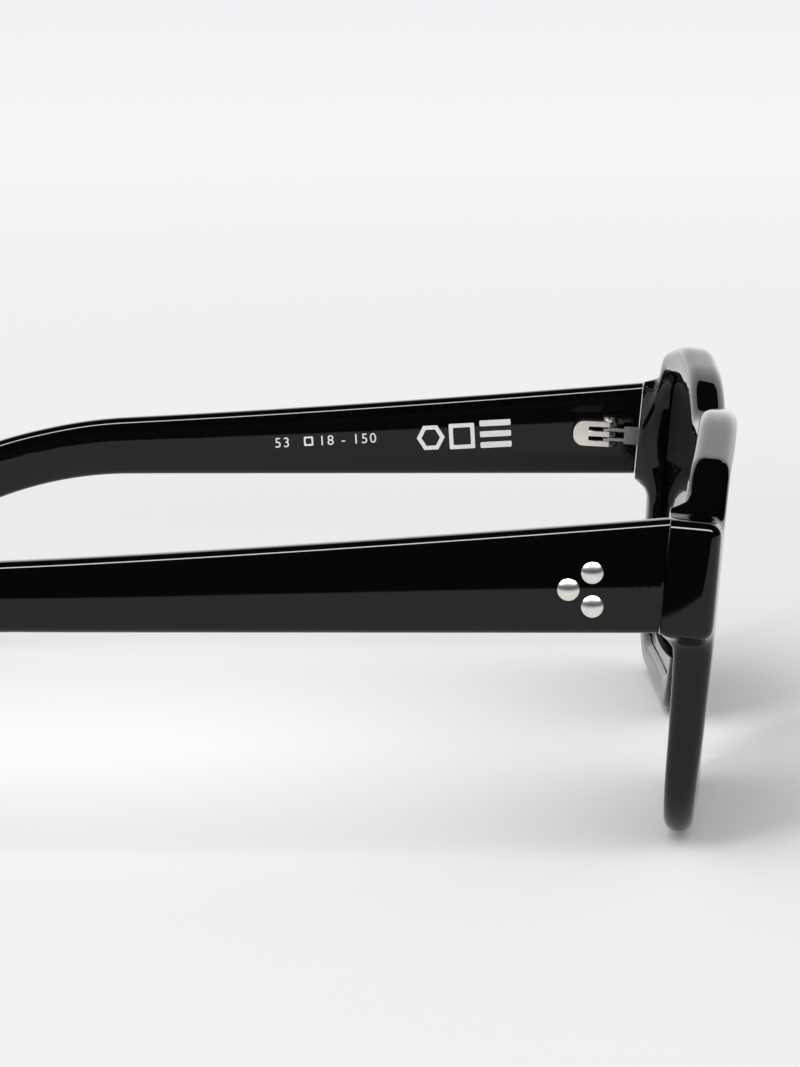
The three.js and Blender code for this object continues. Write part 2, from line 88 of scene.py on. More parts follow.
def colour(name, description, default):
    return FloatVectorProperty(
        name=name, description=description, default=default, subtype="COLOR", size=3, min=0, max=1
    )


def angle(name, description, degrees):
    return FloatProperty(name=name, description=description, default=math.radians(degrees), subtype="ANGLE")


class FrontSettings(bpy.types.PropertyGroup):
    lens_width: length("Lens width", "Width of one opening", 53)
    bridge_width: length("Bridge width", "Distance between the two openings", 18)
    end_reach: length("End piece reach", "From an opening to the outside of the front", 9.5)
    end_height: length("End piece height", "The same as the temple at the joint", 14.6)
    thickness: length("Thickness", "Front to back, at the brow", 5.2)
    depth: length("Depth", "From the joint plane to the front of the bridge", 10.8)
    base_curve: length("Base curve", "Radius of the front seen from above", 600)
    brow_rise: length("Brow rise", "Brow above the temple top", 10.2)
    bridge_rise: length("Bridge rise", "Top of the bridge above the temple top", 3.2)
    bridge_height: length("Bridge height", "Height of the bridge", 10)
    rim_drop: length("Rim drop", "Bottom of the rims below the temple top", 43.8)
    rim_wall: length("Rim wall", "Top and bottom walls of the rims", 5)
    side_wall: length("Side wall", "Outer wall of the rims", 4.2)
    nose_wall: length("Nose wall", "Wall between an opening and the nose", 5)
    edge_radius: length("Edge radius", "Rounding of the polished edges", 1.6)
    edge_fade: length("Edge fade", "Extra softening of the faces beside their edges", 0.15)
    upright_curve: length("Upright curve", "Radius of the front seen from the side", 560)
    lean: angle("Lean", "Forward tilt of the front", 5.6)


class LensSettings(bpy.types.PropertyGroup):
    thickness: length("Thickness", "Lens thickness", 1.9)
    inset: length("Inset", "From the front face to the lens", 1.2)
    overlap: length("Overlap", "Lens edge inside the rim", 0.8)
    tint: colour("Tint", "Colour that the lens lets through", (0.011, 0.009, 0.013))


class TempleSettings(bpy.types.PropertyGroup):
    length: length("Length", "From the hinge axis to the tip", 150)
    thickness: length("Thickness", "Across the middle of the temple", 4)
    height: length("Height", "At the joint", 14.6)
    slim_height: length("Slim height", "Behind the taper", 8.7)
    taper_length: length("Taper length", "From the joint to the slim part", 95)
    taper_ease: FloatProperty(name="Taper ease", description="1 is a straight taper", default=1.25)
    tip_height: length("Tip height", "At the ear end", 10.4)
    bend_radius: length("Bend radius", "Of the bottom edge behind the ear", 60)
    inward_start: length("Inward start", "From the joint to the inward curve", 74)
    inward_radius: length("Inward radius", "Of the ear end, towards the head", 330)
    joint_gap: length("Joint gap", "Between the temple and the front", 0.1)
    crown: length("Crown", "How much thinner the long edges are, each side", 0.34)
    edge_radius: length("Edge radius", "Rounding of the polished edges", 1.2)
    bend: angle("Bend", "Turn of the ear end", 45)
    print_colour: colour("Print colour", "Ink of the marks inside the temple", (0.66, 0.66, 0.67))


class HingeSettings(bpy.types.PropertyGroup):
    drop: length("Drop", "Middle of the hinge below the temple top", 8)
    setback: length("Setback", "Axis behind the joint", 4.8)
    edge_width: length("Edge width", "Bright worn edge of the leaves", 0.07)
    lean: angle("Lean", "Forward tilt of the hinge", 3)
    metal: colour("Metal", "Polished nickel silver", (0.83, 0.78, 0.72))


class StageSettings(bpy.types.PropertyGroup):
    # The near floor colour is painted shade: the paper is darkened near the object to hold back the key light
    # there.
    shaded_near_floor: colour("Near floor", "Colour of the paper around the object", (0.635, 0.635, 0.637))
    far_floor: colour("Far floor", "Colour of the paper in the distance", (0.8, 0.8, 0.802))
    focal: FloatProperty(name="Focal length", description="Lens of the camera, in millimetres", default=132)
    yaw: angle("Yaw", "Turn of the camera to the left", 2.13)
    roll: angle("Roll", "Turn of the camera about its own line of sight", 0.35)
    pitch: angle("Pitch", "How far the camera looks down", 9.27)


class SunglassesSettings(bpy.types.PropertyGroup):
    front: PointerProperty(type=FrontSettings)
    lens: PointerProperty(type=LensSettings)
    temple: PointerProperty(type=TempleSettings)
    hinge: PointerProperty(type=HingeSettings)
    stage: PointerProperty(type=StageSettings)


class Sizes:
    """The settings of one group in millimetres and radians."""

    def __init__(self, group):
        for key, prop in group.bl_rna.properties.items():
            if prop.type == "FLOAT" and not prop.is_array:
                value = getattr(group, key)
                setattr(self, key, value / MM if prop.unit == "LENGTH" else value)


def sizes(context, name):
    return Sizes(getattr(context.scene.sunglasses, name))


# ---------------------------------------- places


def joint_place(side):
    """A hinge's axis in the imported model, in millimetres."""
    joint = next(j for j in frame["record"]["behaviour"]["joints"] if j["name"] == f"{side}_fold")
    return Vector(joint["pos_m"]) / MM


def front_place(context):
    """From the tilted front's frame, which starts at the top of the joint, to the scene in metres."""
    front = sizes(context, "front")
    hinge = sizes(context, "hinge")
    axis = joint_place("left")
    down = Matrix.Rotation(front.lean, 3, "X") @ Vector((0, 0, -hinge.drop))
    back = Matrix.Rotation(hinge.lean, 3, "X") @ Vector((0, hinge.setback, 0))
    start = Vector((0, axis.y, axis.z)) - down - back
    return Matrix.Scale(MM, 4) @ Matrix.Translation(start) @ Matrix.Rotation(front.lean, 4, "X")


def temple_place(context):
    """From the level frame of the temples to the scene."""
    return front_place(context) @ Matrix.Rotation(-sizes(context, "front").lean, 4, "X")


def hinge_place(context):
    """From a hinge's own frame, on the joint plane, to the scene."""
    hinge = sizes(context, "hinge")
    turn = Matrix.Rotation(hinge.lean - sizes(context, "front").lean, 4, "X")
    return front_place(context) @ Matrix.Translation((0, 0, -hinge.drop)) @ turn


# ---------------------------------------- outlines


def rounded(corners, step=0.05):
    """A closed outline from corners (a, b, radius), each with an arc that its edges have room for."""
    points = []
    for index, corner in enumerate(corners):
        here = Vector(corner[:2])
        radius = corner[2] if len(corner) > 2 else 0
        back = Vector(corners[index - 1][:2]) - here
        ahead = Vector(corners[(index + 1) % len(corners)][:2]) - here
        room = min(back.length, ahead.length) * 0.48
        back.normalize()
        ahead.normalize()
        half = back.angle(ahead) / 2
        if radius == 0 or half > 1.56:
            points.append(here)
            continue
        reach = min(radius / math.tan(half), room)
        centre = here + (back + ahead).normalized() * reach / math.cos(half)
        first = here + back * reach - centre
        final = here + ahead * reach - centre
        turn = math.atan2(first.x * final.y - first.y * final.x, first.dot(final))
        steps = max(2, math.ceil(abs(turn) / step))
        for number in range(steps + 1):
            spoke = first.copy()
            spoke.rotate(Matrix.Rotation(turn * number / steps, 2))
            points.append(centre + spoke)
    return points


def area(points):
    following = points[1:] + points[:1]
    return sum(a.x * b.y - a.y * b.x for a, b in zip(points, following)) / 2


def wound(points, anticlockwise):
    """The same outline, drawn in the given direction."""
    return points if (area(points) > 0) == anticlockwise else points[::-1]


def grown(points, distance):
    """The same outline moved outwards."""
    points = wound(points, True)
    moved = []
    for index, here in enumerate(points):
        entering = (here - points[index - 1]).normalized()
        leaving = (points[(index + 1) % len(points)] - here).normalized()
        normal = Vector((entering.y + leaving.y, -entering.x - leaving.x)).normalized()
        moved.append(here + normal * distance / (normal.x * entering.y - normal.y * entering.x))
    return moved


def walked(points, step):
    """Points at even steps along a closed outline."""
    stops = []
    for here, following in zip(points, points[1:] + points[:1]):
        count = max(1, math.ceil((following - here).length / step))
        stops += [here.lerp(following, number / count) for number in range(count)]
    return stops


def front_outline(front):
    """The edge of the front: bridge, brow, end piece, rim and nose, then the same mirrored."""
    inner = front.bridge_width / 2
    outer = inner + front.lens_width
    middle = (inner + outer) / 2
    side = outer + front.end_reach
    half = [
        (inner - 1, front.bridge_rise, 14),
        (inner + 11, front.brow_rise - 1.9, 34),
        (middle + 3, front.brow_rise, 46),
        (outer - 1.5, front.brow_rise - 3.9, 7),
        (outer + 3.4, 0, 5),
        (side, 0, 1.7),
        (side, -front.end_height, 1.7),
        (outer + front.side_wall + 1.2, -front.end_height - 1.6, 3),
        (outer + front.side_wall - 1, -front.rim_drop + 0.6, 13),
        (middle + 4, -front.rim_drop, 60),
        (inner + 9.5, -front.rim_drop, 10),
        (inner + 0.5 - front.nose_wall * 0.7, front.bridge_rise - front.bridge_height - 9, 24),
        (inner - front.nose_wall, front.bridge_rise - front.bridge_height, 4),
    ]
    return rounded(half + [(-x, z, radius) for x, z, radius in reversed(half)])


def lens_outline(front, side):
    """The opening of one rim."""
    inner = front.bridge_width / 2
    outer = inner + front.lens_width
    middle = (inner + outer) / 2
    points = rounded([
        (inner + 1.5, front.brow_rise - front.rim_wall - 3.4, 9),
        (middle + 1.5, front.brow_rise - front.rim_wall - 0.3, 60),
        (outer - 1.2, front.brow_rise - front.rim_wall - 2.4, 8),
        (outer + 0.4, -10, 40),
        (outer - 3, -front.rim_drop + front.rim_wall, 9),
        (inner + 10.5, -front.rim_drop + front.rim_wall, 12),
        (inner + 0.4, -11, 28),
    ])
    return [Vector((point.x * side, point.y)) for point in points]


def smooth(start, end, value):
    part = min(max((value - start) / (end - start), 0), 1)
    return part * part * (3 - 2 * part)


# ---------------------------------------- modelling


def only(piece):
    """Selects one piece and nothing else."""
    bpy.ops.object.select_all(action="DESELECT")
    piece.select_set(True)
    bpy.context.view_layer.objects.active = piece


def edit(piece, select="SELECT"):
    only(piece)
    bpy.ops.object.mode_set(mode="EDIT")
    bpy.ops.mesh.select_all(action=select)


def choose_faces(piece, chosen):
    """Opens a piece for editing with only the faces selected that pass a test."""
    edit(piece, "DESELECT")
    bpy.ops.mesh.select_mode(type="FACE")
    mesh = bmesh.from_edit_mesh(piece.data)
    for face in mesh.faces:
        face.select_set(chosen(face))
    bmesh.update_edit_mesh(piece.data)


def added(name, operator, **values):
    """A new primitive or text, with everything else deselected."""
    bpy.ops.object.select_all(action="DESELECT")
    operator(**values)
    piece = bpy.context.view_layer.objects.active
    piece.name = name
    return piece


def done():
    bpy.ops.object.mode_set(mode="OBJECT")


def filled_curve(name, outlines, thickness, edge_radius, segments=5):
    """A flat plate with round edges, in the XY plane: the first outline is its edge, the others its holes."""
    flat = bpy.data.curves.new(name, "CURVE")
    flat.dimensions = "2D"
    flat.fill_mode = "BOTH"
    for number, points in enumerate(outlines):
        spline = flat.splines.new("POLY")
        loop = wound(points, number == 0)
        spline.points.add(len(loop) - 1)
        for place, point in zip(spline.points, loop):
            place.co = (point.x, point.y, 0, 1)
        spline.use_cyclic_u = True
    flat.extrude = thickness / 2 - edge_radius
    flat.bevel_depth = edge_radius
    flat.bevel_resolution = segments
    flat.offset = -edge_radius
    piece = bpy.data.objects.new(name, flat)
    bpy.context.collection.objects.link(piece)
    only(piece)
    bpy.ops.object.convert(target="MESH")
    piece = bpy.context.view_layer.objects.active
    edit(piece)
    bpy.ops.mesh.remove_doubles(threshold=0.002)
    bpy.ops.mesh.normals_make_consistent(inside=False)
    done()
    return piece


def gridded(piece, step):
    """Cuts the flat faces of a plate into a grid, so that it can bend. Its round edge isn't cut."""
    corners = [Vector(corner) for corner in piece.bound_box]
    choose_faces(piece, lambda face: abs(face.normal.z) < 0.999)
    bpy.ops.mesh.hide()
    for number in range(2):
        low = min(corner[number] for corner in corners)
        high = max(corner[number] for corner in corners)
        normal = [0, 0, 0]
        normal[number] = 1
        count = int((high - low) / step) + 1
        for index in range(1, count):
            place = [0, 0, 0]
            place[number] = low + (high - low) * index / count
            bpy.ops.mesh.select_all(action="SELECT")
            bpy.ops.mesh.bisect(plane_co=place, plane_no=normal)
    bpy.ops.mesh.reveal(select=False)
    done()
    return piece


def reshape(piece, move):
    """Moves every point by a rule."""
    for vertex in piece.data.vertices:
        vertex.co = move(vertex.co)
    piece.data.update()
    return piece


def settle(piece, place):
    """Puts a piece at its place in the scene, keeping its object at the origin."""
    piece.data.transform(place)
    if place.determinant() < 0:
        piece.data.flip_normals()
    piece.data.update()
    return piece


def modified(piece, kind, **values):
    """Adds a modifier and applies it."""
    only(piece)
    modifier = piece.modifiers.new(kind.title(), kind)
    for key, value in values.items():
        setattr(modifier, key, value)
    bpy.ops.object.modifier_apply(modifier=modifier.name)
    return piece


def cut_by(piece, cutter):
    """Takes the cutter's shape out of a piece."""
    modified(piece, "BOOLEAN", operation="DIFFERENCE", object=cutter, solver="EXACT")
    bpy.data.objects.remove(cutter)
    return piece


def cut_plane(piece, point, normal, bevel=0.0):
    """Cuts off what is past a plane, closes the cut and softens its edge."""
    edit(piece)
    bpy.ops.mesh.bisect(plane_co=point, plane_no=normal, use_fill=True, clear_outer=True)
    done()
    if bevel:
        point, normal = Vector(point), Vector(normal).normalized()
        edit(piece, "DESELECT")
        bpy.ops.mesh.select_mode(type="EDGE")
        mesh = bmesh.from_edit_mesh(piece.data)
        for edge in mesh.edges:
            near = all(abs((v.co - point).dot(normal)) < 1e-3 for v in edge.verts)
            flat = [abs(face.normal.dot(normal)) > 0.999 for face in edge.link_faces]
            edge.select = near and len(flat) == 2 and flat.count(True) == 1
        bmesh.update_edit_mesh(piece.data)
        bpy.ops.mesh.bevel(offset=bevel, segments=2, clamp_overlap=True)
        done()
    return piece


def cube(name, low, high):
    """A block between two corners, for cutting."""
    piece = added(name, bpy.ops.mesh.primitive_cube_add, size=1)
    low, high = Vector(low), Vector(high)
    piece.data.transform(Matrix.Translation((low + high) / 2) @ Matrix.Diagonal((high - low).to_4d()))
    return piece


def polished(piece, angle=32, weighted=False):
    """Smooth shading, with flats kept flat beside the rounded edges."""
    only(piece)
    bpy.ops.object.shade_smooth_by_angle(angle=math.radians(angle))
    if weighted:
        modified(piece, "WEIGHTED_NORMAL", keep_sharp=True, weight=50)
    return piece


def finished(piece, body, slot, material, *nodes):
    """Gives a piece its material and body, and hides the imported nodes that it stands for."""
    piece.data.materials.clear()
    piece.data.materials.append(material)
    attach(piece, body)
    if nodes:
        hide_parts(*nodes)
    return piece


# ---------------------------------------- materials


def wear_group():
    """What all the hard finishes share: uneven polish, faint wipe marks and dust-fine pits."""
    name = "Polish and wear"
    if name in bpy.data.node_groups:
        return bpy.data.node_groups[name]
    group = bpy.data.node_groups.new(name, "ShaderNodeTree")
    sockets = group.interface
    for label, value in (("Scale", 1.0), ("Roughness", 0.05), ("Variation", 0.03), ("Streak", 0.2)):
        socket = sockets.new_socket(label, in_out="INPUT", socket_type="NodeSocketFloat")
        socket.default_value = value
    for label in ("Roughness", "Height", "Mask"):
        sockets.new_socket(label, in_out="OUTPUT", socket_type="NodeSocketFloat")
    nodes, links = group.nodes, group.links
    start = nodes.new("NodeGroupInput")
    end = nodes.new("NodeGroupOutput")
    place = nodes.new("ShaderNodeTexCoord")

    def noise(size, detail, stretch=(1, 1, 1)):
        mapping = nodes.new("ShaderNodeMapping")
        mapping.inputs["Scale"].default_value = stretch
        links.new(place.outputs["Object"], mapping.inputs["Vector"])
        scaled = nodes.new("ShaderNodeMath")
        scaled.operation = "MULTIPLY"
        scaled.inputs[1].default_value = size
        links.new(start.outputs["Scale"], scaled.inputs[0])
        texture = nodes.new("ShaderNodeTexNoise")
        texture.inputs["Detail"].default_value = detail
        links.new(mapping.outputs["Vector"], texture.inputs["Vector"])
        links.new(scaled.outputs[0], texture.inputs["Scale"])
        return texture.outputs["Fac"]

    def maths(operation, first, second, third=None):
        node = nodes.new("ShaderNodeMath")
        node.operation = operation
        for index, value in enumerate((first, second, third)):
            if value is None:
                continue
            if isinstance(value, (int, float)):
                node.inputs[index].default_value = value
            else:
                links.new(value, node.inputs[index])
        return node.outputs[0]

    broad = noise(90, 2)
    fine = noise(2600, 3)
    wipes = noise(420, 2, (1, 0.05, 1.4))
    streaks = maths("MULTIPLY", wipes, start.outputs["Streak"])
    mask = maths("ADD", maths("MULTIPLY", broad, 0.7), maths("ADD", maths("MULTIPLY", fine, 0.3), streaks))
    centred = maths("SUBTRACT", mask, 0.55)
    rough = maths("MULTIPLY_ADD", centred, start.outputs["Variation"], start.outputs["Roughness"])
    links.new(maths("MAXIMUM", rough, 0.012), end.inputs["Roughness"])
    links.new(maths("ADD", broad, maths("MULTIPLY", fine, 0.012)), end.inputs["Height"])
    links.new(mask, end.inputs["Mask"])
    return group


def blank_material(name):
    material = bpy.data.materials.new(name)
    material.use_nodes = True
    return material, material.node_tree.nodes, material.node_tree.links, principled(material)


def principled(material):
    return material.node_tree.nodes["Principled BSDF"]


def new_material(name, base, roughness, variation, bump=0.0, metallic=0.0, streak=0.2, scale=1.0):
    """A hard finish with the shared wear, whose colour also drifts a little across the surface."""
    material, nodes, links, shader = blank_material(name)
    wear = nodes.new("ShaderNodeGroup")
    wear.node_tree = wear_group()
    wear.inputs["Scale"].default_value = scale
    wear.inputs["Roughness"].default_value = roughness
    wear.inputs["Variation"].default_value = variation
    wear.inputs["Streak"].default_value = streak
    drift = nodes.new("ShaderNodeMix")
    drift.data_type = "RGBA"
    drift.inputs["A"].default_value = [*(channel * 0.86 for channel in base), 1]
    drift.inputs["B"].default_value = [*(min(channel * 1.14, 1) for channel in base), 1]
    links.new(wear.outputs["Mask"], drift.inputs["Factor"])
    links.new(drift.outputs["Result"], shader.inputs["Base Color"])
    links.new(wear.outputs["Roughness"], shader.inputs["Roughness"])
    shader.inputs["Metallic"].default_value = metallic
    if bump:
        relief = nodes.new("ShaderNodeBump")
        relief.inputs["Strength"].default_value = bump
        relief.inputs["Distance"].default_value = 0.02 * MM
        links.new(wear.outputs["Height"], relief.inputs["Height"])
        links.new(relief.outputs["Normal"], shader.inputs["Normal"])
    return material


def acetate_material():
    material = new_material("Black acetate", (0.0016, 0.0016, 0.0018), 0.04, variation=0.05, bump=0.3)
    shader = principled(material)
    shader.inputs["IOR"].default_value = 1.45
    shader.inputs["Specular IOR Level"].default_value = 0.36
    return material


def lens_material(tint):
    material = new_material("Dark grey lens", tint, 0.015, variation=0.01)
    shader = principled(material)
    shader.inputs["Transmission Weight"].default_value = 1.0
    shader.inputs["Specular IOR Level"].default_value = 0.15
    shader.inputs["IOR"].default_value = 1.5
    return material


def metal_material(name, base, roughness):
    return new_material(name, base, roughness, variation=0.12, bump=0.2, metallic=1.0, streak=0.5, scale=2.0)


def print_material(ink):
    material = new_material("Pad printing ink", ink, 0.42, variation=0.2, bump=0.3, scale=3.0)
    principled(material).inputs["IOR"].default_value = 1.45
    return material


def shared_material(name, make, *values):
    """The material of that name, made the first time that a piece asks for it."""
    return bpy.data.materials.get(name) or make(*values)


def acetate():
    return shared_material("Black acetate", acetate_material)


def hinge_metal(context):
    base = tuple(context.scene.sunglasses.hinge.metal)
    return shared_material("Nickel silver", metal_material, "Nickel silver", base, 0.16)


# ---------------------------------------- front and lenses


def face_depth(front, x, z):
    """How far the front face lies behind the joint plane: it curves both ways, about the lens middles."""
    return -front.depth + x * x / (2 * front.base_curve) + (z - FULLEST) ** 2 / (2 * front.upright_curve)


def rear_depth(front, x, z):
    """How far the rear face lies behind the joint plane: the rim, the hinge boss and the end piece."""
    outer = front.bridge_width / 2 + front.lens_width
    across = abs(x)
    thin_below, thinning = -14, 0.045
    rim = face_depth(front, x, z) + front.thickness - thinning * max(thin_below - z, 0)
    end_foot = smooth(-17.4, -12.8, z)
    end_top = smooth(3.9, -0.4, z)
    end = smooth(outer + 0.3, outer + 3.4, across) * end_foot * end_top
    boss_middle = -8
    boss_height = 1 - smooth(0.5, 10.5, abs(z - boss_middle))
    boss = smooth(outer - 7, outer + 0.5, across) * boss_height
    share = end + boss - end * boss
    spare = 0.3  # past the joint plane, which is then cut clean
    reach = spare + end * front.edge_radius
    return rim + share * (reach - rim)


def curved_plate(front, name, outlines, near, far, edge_radius, step, rear=None, fade=0):
    """A plate that follows the base curve, between two depths behind the front face."""
    thickness = far - near
    piece = filled_curve(name, [walked(points, step) for points in outlines], thickness, edge_radius)
    gridded(piece, step)
    stops = [stop for points in outlines for stop in walked(points, 0.2)]
    edges = KDTree(len(stops))
    for number, stop in enumerate(stops):
        edges.insert((stop.x, stop.y, 0), number)
    edges.balance()

    def bend(co):
        distance = edges.find((co.x, co.y, 0))[2]
        soft = fade * max(1 - distance / FADE_WIDTH, 0) ** 2
        if co.z > 0:
            return Vector((co.x, face_depth(front, co.x, co.y) + near + thickness / 2 - co.z + soft, co.y))
        back = rear(co.x, co.y) if rear else face_depth(front, co.x, co.y) + far
        return Vector((co.x, back - thickness / 2 - co.z - soft, co.y))

    return reshape(piece, bend)


class SUNGLASSES_OT_front(bpy.types.Operator):
    """Acetate front: curved rims with round edges, end pieces and hinge pockets"""

    bl_idname = "sunglasses.front"
    bl_label = "Front"

    def execute(self, context):
        front = sizes(context, "front")
        lens = sizes(context, "lens")
        openings = [lens_outline(front, side) for side in SIDES.values()]
        grid, groove_grid, play = 1.3, 3, 0.12
        piece = curved_plate(
            front, "acetate_front", [front_outline(front), *openings], 0, front.thickness,
            front.edge_radius, grid, rear=lambda x, z: rear_depth(front, x, z), fade=front.edge_fade,
        )
        cut_plane(piece, (0, 0, 0), (0, 1, 0), bevel=0.05)
        for opening in openings:
            groove = curved_plate(
                front, "groove", [grown(opening, lens.overlap + 0.15)], lens.inset - play,
                lens.inset + lens.thickness + play, 0.2, groove_grid,
            )
            cut_by(piece, groove)
        hinge = hinge_place(context)
        to_hinge = front_place(context).inverted() @ hinge
        axis = 65.4
        half_width, half_height, depth = 2.1, 2.3, 1.05
        for side in SIDES.values():
            low, high = (axis - half_width, -depth, -half_height), (axis + half_width, 1, half_height)
            pocket = cube("pocket", low, high)
            pocket.data.transform(to_hinge)
            pocket.data.transform(Matrix.Diagonal((side, 1, 1, 1)))
            if side < 0:
                pocket.data.flip_normals()
            cut_by(piece, pocket)
        polished(piece)
        settle(piece, front_place(context))
        finished(piece, "front", "acetate", acetate(), "front_frame")
        return {"FINISHED"}


class SUNGLASSES_OT_lenses(bpy.types.Operator):
    """Dark lenses seated in the rims"""

    bl_idname = "sunglasses.lenses"
    bl_label = "Lenses"

    def execute(self, context):
        front = sizes(context, "front")
        lens = sizes(context, "lens")
        tint = tuple(context.scene.sunglasses.lens.tint)
        material = shared_material("Dark grey lens", lens_material, tint)
        for name, side in SIDES.items():
            outline = grown(lens_outline(front, side), lens.overlap)
            piece = curved_plate(
                front, f"tinted_lens_{name}", [outline], lens.inset, lens.inset + lens.thickness, 0.3, 2.5
            )
            polished(piece)
            settle(piece, front_place(context))
            finished(piece, "front", "lens", material, f"lens_{name}")
        return {"FINISHED"}


class SUNGLASSES_OT_nose_pads(bpy.types.Operator):
    """Polished pads bonded to the rear of the rims"""

    bl_idname = "sunglasses.nose_pads"
    bl_label = "Nose pads"

    def execute(self, context):
        front = sizes(context, "front")
        half_thickness, reach, half_height, drop = 1.2, 4.6, 7.5, 22
        slope, splay = math.radians(19), math.radians(22)
        fall = drop + front.bridge_rise - front.bridge_height
        follow = 0.55  # share of the pad's slope that the nose wall has
        across = front.bridge_width / 2 - front.nose_wall / 2 + fall * math.tan(slope) * follow
        rim_rear = rear_depth(front, across, -drop)
        for name, side in SIDES.items():
            ball = bpy.ops.mesh.primitive_uv_sphere_add
            piece = added(f"rim_pad_{name}", ball, segments=64, ring_count=48, radius=1)
            turn = Matrix.Rotation(-slope, 4, "Y") @ Matrix.Rotation(-splay, 4, "Z")
            place = Matrix.Translation((across, rim_rear, -drop))
            piece.data.transform(place @ turn @ Matrix.Diagonal((half_thickness, reach, half_height, 1)))
            cut_plane(piece, (0, rim_rear + 0.08, 0), (0, -1, 0), bevel=0.12)
            polished(piece)
            settle(piece, front_place(context) @ Matrix.Diagonal((side, 1, 1, 1)))
            finished(piece, "front", "nose_pad", acetate(), f"nose_pad_{name}")
        return {"FINISHED"}


# ---------------------------------------- temples


class TemplePath:
    """The side view of a temple: a straight taper, the bend behind the ear and the round tip."""

    def __init__(self, context):
        temple = sizes(context, "temple")
        hinge = sizes(context, "hinge")
        self.size = temple
        floor = -temple_place(context).translation.z / MM
        tip = temple.tip_height / 2
        bend_drop = temple.bend_radius * (1 - math.cos(temple.bend))
        fall = -floor - temple.height - bend_drop + tip * math.cos(temple.bend) - tip
        self.tip_half = tip
        self.tip_straight = fall / math.sin(temple.bend)
        bend_length = (temple.bend_radius + tip) * temple.bend
        self.straight = hinge.setback + temple.length - bend_length - self.tip_straight - tip
        self.bottom = self.straight + temple.bend_radius * temple.bend + self.tip_straight
        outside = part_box("temple_left")[1][0] / MM
        self.middle = outside - temple.thickness / 2

    def height(self, distance):
        temple = self.size
        if distance <= temple.taper_length:
            left = min(1 - distance / temple.taper_length, 1)
            return temple.slim_height + (temple.height - temple.slim_height) * left ** temple.taper_ease
        part = (distance - temple.taper_length) / (self.bottom - temple.taper_length)
        return temple.slim_height + (temple.tip_height - temple.slim_height) * part * part

    def above(self, distance, rise):
        """A point above the bottom edge."""
        temple = self.size
        turn = min(max((distance - self.straight) / temple.bend_radius, 0), temple.bend)
        beyond = max(distance - self.straight - temple.bend_radius * temple.bend, 0)
        along = min(distance, self.straight)
        y = along + temple.bend_radius * math.sin(turn) + beyond * math.cos(turn)
        z = -temple.height - temple.bend_radius * (1 - math.cos(turn)) - beyond * math.sin(turn)
        return Vector((y + rise * math.sin(turn), z + rise * math.cos(turn)))

    def locate(self, y, z):
        """The distance along the bottom edge and the rise above it of a point."""
        temple = self.size
        if y <= self.straight:
            return y, z + temple.height
        centre = Vector((self.straight, -temple.height - temple.bend_radius))
        spoke = Vector((y, z)) - centre
        turn = math.atan2(spoke.x, spoke.y)
        if turn <= temple.bend:
            return self.straight + temple.bend_radius * turn, spoke.length - temple.bend_radius
        ahead = Vector((math.cos(temple.bend), -math.sin(temple.bend)))
        up = Vector((math.sin(temple.bend), math.cos(temple.bend)))
        start = self.straight + temple.bend_radius * temple.bend
        return start + spoke.dot(ahead), spoke.dot(up) - temple.bend_radius

    def outline(self):
        temple = self.size
        bend = temple.bend_radius * temple.bend
        stops = [-4, -2.5, -1.2, *(self.straight * step / 84 for step in range(84))]
        stops += [self.straight + bend * step / 40 for step in range(40)]
        stops += [self.straight + bend + self.tip_straight * step / 12 for step in range(13)]
        lower = [self.above(stop, 0) for stop in stops]
        upper = [self.above(stop, self.height(stop)) for stop in reversed(stops)]
        centre = self.above(self.bottom, self.tip_half)
        cap = []
        for step in range(1, 24):
            angle = -math.pi / 2 + math.pi * step / 24 - temple.bend
            cap.append(centre + Vector((math.cos(angle), math.sin(angle))) * self.tip_half)
        return lower + cap + upper

    def sideways(self, y):
        beyond = max(y - self.size.inward_start, 0)
        return self.middle - beyond * beyond / (2 * self.size.inward_radius)

    def surface(self, y, z, outside):
        """The sideways place of the temple's crowned outer or inner face."""
        distance, rise = self.locate(y, z)
        part = min(abs(2 * rise / self.height(distance) - 1), 1)
        half = self.size.thickness / 2 - self.size.crown * part * part
        return self.sideways(y) + (half if outside else -half)


def leaf_outline(setback, margin):
    """The temple leaf seen from the side, in the hinge's frame."""
    half = LEAF_HEIGHT / 2 + margin
    rear = setback + LEAF_REACH + margin
    corner = half * 0.96
    corners = [(LEAF_START, -half), (rear, -half, corner), (rear, half, corner), (LEAF_START, half)]
    return rounded(corners, 0.15)


class SUNGLASSES_OT_temples(bpy.types.Operator):
    """Acetate temples: tapered, crowned, bent behind the ear, with a pocket for the hinge leaf"""

    bl_idname = "sunglasses.temples"
    bl_label = "Temples"

    def execute(self, context):
        path = TemplePath(context)
        temple = path.size
        lean = Matrix.Rotation(sizes(context, "front").lean, 3, "X")
        setback = sizes(context, "hinge").setback
        across = Matrix(((0, 0, 1, 0), (1, 0, 0, 0), (0, 1, 0, 0), (0, 0, 0, 1)))
        grid, pocket_width, pocket_middle, margin = 1.1, 2.6, 67, 0.16
        for name, side in SIDES.items():
            outlines = [path.outline()]
            piece = filled_curve(f"acetate_temple_{name}", outlines, temple.thickness, temple.edge_radius)
            gridded(piece, grid)

            def bend(co):
                face = path.surface(co.x, co.y, co.z > 0)
                inset = (temple.thickness / 2 - abs(co.z)) * (1 if co.z > 0 else -1)
                return Vector((face - inset, co.x, co.y))

            reshape(piece, bend)
            joint = lean @ Vector((0, temple.joint_gap, 0))
            cut_plane(piece, joint, lean @ Vector((0, -1, 0)), bevel=0.05)
            cutter = filled_curve("pocket", [leaf_outline(setback, margin)], pocket_width, 0.05, 1)
            cutter.data.transform(Matrix.Translation((pocket_middle, 0, 0)) @ across)
            cutter.data.transform(temple_place(context).inverted() @ hinge_place(context))
            cut_by(piece, cutter)
            polished(piece)
            settle(piece, temple_place(context) @ Matrix.Diagonal((side, 1, 1, 1)))
            finished(piece, BODY[name], "acetate", acetate(), f"temple_{name}")
        return {"FINISHED"}


